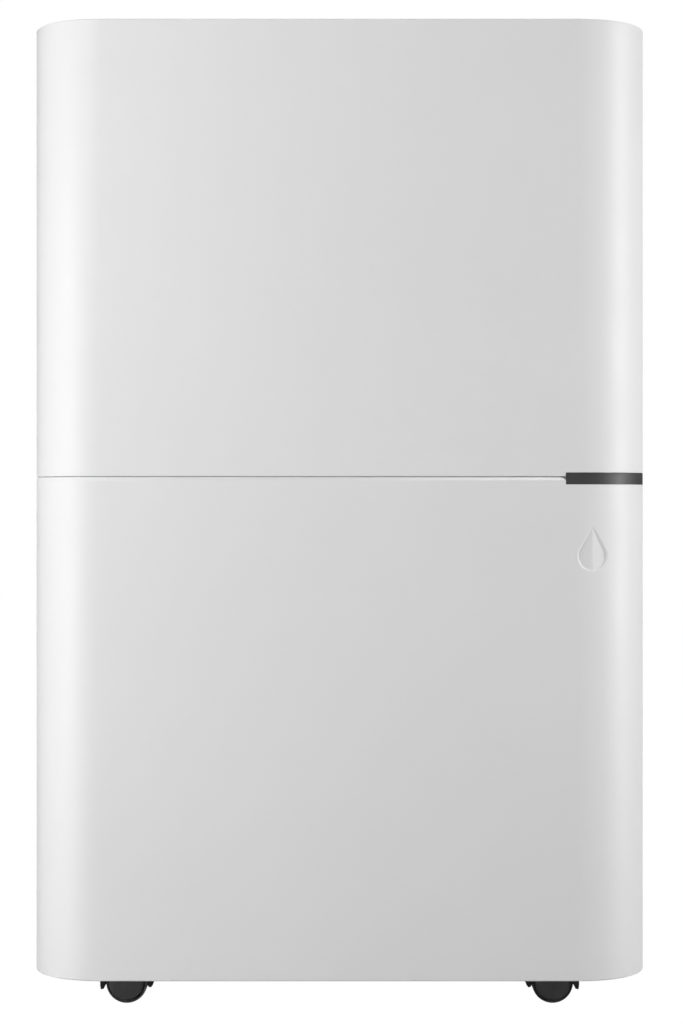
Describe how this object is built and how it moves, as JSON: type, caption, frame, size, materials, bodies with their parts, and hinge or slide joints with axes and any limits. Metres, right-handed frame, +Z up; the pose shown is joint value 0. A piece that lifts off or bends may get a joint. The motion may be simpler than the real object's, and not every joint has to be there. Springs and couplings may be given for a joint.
{
  "type": "dehumidifier",
  "caption": "Upright compressor dehumidifier with a rounded white cabinet, pull-out front bucket, top controls and air flap, rear grille and swivel casters.",
  "frame": {"origin": "on the floor, under the middle of the cabinet's bounding box", "axes": "+Z up, the bucket and front cover face -Y, the air inlet grille faces +Y, +X is to the right seen from the front"},
  "size_m": [0.386, 0.27, 0.622],
  "materials": {
    "cabinet_plastic": "white ABS, satin with a very fine moulded texture",
    "dark_plastic": "black moulded polypropylene, satin",
    "grey_plastic": "mid-grey moulded plastic, fine texture",
    "smoked_lens": "smoked dark grey acrylic, satin gloss",
    "panel_plastic": "dark grey control fascia, satin",
    "button_plastic": "white plastic key caps, semi-gloss",
    "circuit_board": "green solder mask with parts on it",
    "filter_mesh": "nylon net on a moulded frame",
    "rubber": "black moulded rubber",
    "bucket_plastic": "translucent pale polypropylene",
    "float_foam": "white closed-cell foam",
    "coil_fins": "bare aluminium fins",
    "black_paint": "black enamel on pressed steel",
    "copper": "drawn copper tube, lightly oxidised",
    "steel": "zinc-plated steel",
    "capacitor_can": "drawn aluminium can",
    "caster_plastic": "black nylon, satin",
    "caster_tread": "dark grey moulded wheel with a soft tread"
  },
  "bodies": {
    "cabinet": {"rear_housing": "cabinet_plastic", "front_cover": "cabinet_plastic", "top_cover": "cabinet_plastic", "side_grip_left": "cabinet_plastic", "side_grip_right": "cabinet_plastic", "outlet_frame": "cabinet_plastic", "base_pan": "dark_plastic", "bucket_bay": "grey_plastic", "drip_tray": "grey_plastic", "drain_recess": "grey_plastic", "drain_spout": "grey_plastic", "status_lens": "smoked_lens", "display_lens": "smoked_lens", "control_panel": "panel_plastic", "display_board": "circuit_board", "control_board": "circuit_board", "cord_gland": "rubber", "grommet_1": "rubber", "grommet_2": "rubber", "grommet_3": "rubber", "bucket_switch": "dark_plastic", "condenser": "coil_fins", "evaporator": "coil_fins", "compressor": "black_paint", "accumulator": "black_paint", "discharge_pipe": "copper", "suction_pipe": "copper", "capillary_tube": "copper", "fan_housing": "dark_plastic", "fan_motor": "steel", "board_box": "steel", "run_capacitor": "capacitor_can"},
    "bucket": {"bucket": "bucket_plastic", "bucket_front": "cabinet_plastic", "bucket_lid": "bucket_plastic"},
    "bucket_handle": {"bucket_handle": "grey_plastic"},
    "float": {"float": "float_foam"},
    "outlet_flap": {"outlet_flap": "cabinet_plastic"},
    "filter": {"rear_grille": "cabinet_plastic", "filter_screen": "filter_mesh"},
    "drain_cap": {"drain_cap": "dark_plastic"},
    "fan": {"fan_wheel": "dark_plastic"},
    "timer_button": {"timer_button": "button_plastic"},
    "fan_speed_button": {"fan_speed_button": "button_plastic"},
    "humidity_down_button": {"humidity_down_button": "button_plastic"},
    "humidity_up_button": {"humidity_up_button": "button_plastic"},
    "mode_button": {"mode_button": "button_plastic"},
    "power_button": {"power_button": "button_plastic"},
    "caster_front_left": {"caster_hood_front_left": "caster_plastic"},
    "wheel_front_left": {"caster_wheel_front_left": "caster_tread", "caster_axle_front_left": "steel"},
    "caster_front_right": {"caster_hood_front_right": "caster_plastic"},
    "wheel_front_right": {"caster_wheel_front_right": "caster_tread", "caster_axle_front_right": "steel"},
    "caster_rear_left": {"caster_hood_rear_left": "caster_plastic"},
    "wheel_rear_left": {"caster_wheel_rear_left": "caster_tread", "caster_axle_rear_left": "steel"},
    "caster_rear_right": {"caster_hood_rear_right": "caster_plastic"},
    "wheel_rear_right": {"caster_wheel_rear_right": "caster_tread", "caster_axle_rear_right": "steel"}
  },
  "joints": [
    {"name": "bucket_slide", "type": "slide", "parent": "cabinet", "child": "bucket", "axis": [0, -1, 0], "range_m": [0, 0.2]},
    {"name": "handle_hinge", "type": "hinge", "parent": "bucket", "child": "bucket_handle", "pos_m": [0, -0.068, 0.2725], "axis": [1, 0, 0], "range_deg": [0, 95]},
    {"name": "float_hinge", "type": "hinge", "parent": "bucket", "child": "float", "pos_m": [0.102, -0.09, 0.243], "axis": [1, 0, 0], "range_deg": [0, 15]},
    {"name": "flap_hinge", "type": "hinge", "parent": "cabinet", "child": "outlet_flap", "pos_m": [0, 0.038, 0.618], "axis": [-1, 0, 0], "range_deg": [0, 75]},
    {"name": "filter_slide", "type": "slide", "parent": "cabinet", "child": "filter", "axis": [0, 1, 0], "range_m": [0, 0.08]},
    {"name": "drain_cap_slide", "type": "slide", "parent": "cabinet", "child": "drain_cap", "axis": [0, 1, 0], "range_m": [0, 0.03]},
    {"name": "fan_spin", "type": "hinge", "parent": "cabinet", "child": "fan", "pos_m": [0, 0, 0.468], "axis": [0, 1, 0], "continuous": true},
    {"name": "timer_button_press", "type": "slide", "parent": "cabinet", "child": "timer_button", "axis": [0, 0, -1], "range_m": [0, 0.001], "stiffness_N_per_m": 600, "springref_m": -0.0005},
    {"name": "fan_speed_button_press", "type": "slide", "parent": "cabinet", "child": "fan_speed_button", "axis": [0, 0, -1], "range_m": [0, 0.001], "stiffness_N_per_m": 600, "springref_m": -0.0005},
    {"name": "humidity_down_button_press", "type": "slide", "parent": "cabinet", "child": "humidity_down_button", "axis": [0, 0, -1], "range_m": [0, 0.001], "stiffness_N_per_m": 600, "springref_m": -0.0005},
    {"name": "humidity_up_button_press", "type": "slide", "parent": "cabinet", "child": "humidity_up_button", "axis": [0, 0, -1], "range_m": [0, 0.001], "stiffness_N_per_m": 600, "springref_m": -0.0005},
    {"name": "mode_button_press", "type": "slide", "parent": "cabinet", "child": "mode_button", "axis": [0, 0, -1], "range_m": [0, 0.001], "stiffness_N_per_m": 600, "springref_m": -0.0005},
    {"name": "power_button_press", "type": "slide", "parent": "cabinet", "child": "power_button", "axis": [0, 0, -1], "range_m": [0, 0.001], "stiffness_N_per_m": 600, "springref_m": -0.0005},
    {"name": "caster_front_left_swivel", "type": "hinge", "parent": "cabinet", "child": "caster_front_left", "pos_m": [-0.144, -0.068, 0.03], "axis": [0, 0, 1], "continuous": true},
    {"name": "wheel_front_left_spin", "type": "hinge", "parent": "caster_front_left", "child": "wheel_front_left", "pos_m": [-0.137, -0.068, 0.01325], "axis": [0, 1, 0], "continuous": true},
    {"name": "caster_front_right_swivel", "type": "hinge", "parent": "cabinet", "child": "caster_front_right", "pos_m": [0.144, -0.068, 0.03], "axis": [0, 0, 1], "continuous": true},
    {"name": "wheel_front_right_spin", "type": "hinge", "parent": "caster_front_right", "child": "wheel_front_right", "pos_m": [0.137, -0.068, 0.01325], "axis": [0, 1, 0], "continuous": true},
    {"name": "caster_rear_left_swivel", "type": "hinge", "parent": "cabinet", "child": "caster_rear_left", "pos_m": [-0.144, 0.08, 0.03], "axis": [0, 0, 1], "continuous": true},
    {"name": "wheel_rear_left_spin", "type": "hinge", "parent": "caster_rear_left", "child": "wheel_rear_left", "pos_m": [-0.137, 0.08, 0.01325], "axis": [0, 1, 0], "continuous": true},
    {"name": "caster_rear_right_swivel", "type": "hinge", "parent": "cabinet", "child": "caster_rear_right", "pos_m": [0.144, 0.08, 0.03], "axis": [0, 0, 1], "continuous": true},
    {"name": "wheel_rear_right_spin", "type": "hinge", "parent": "caster_rear_right", "child": "wheel_rear_right", "pos_m": [0.137, 0.08, 0.01325], "axis": [0, 1, 0], "continuous": true}
  ]
}
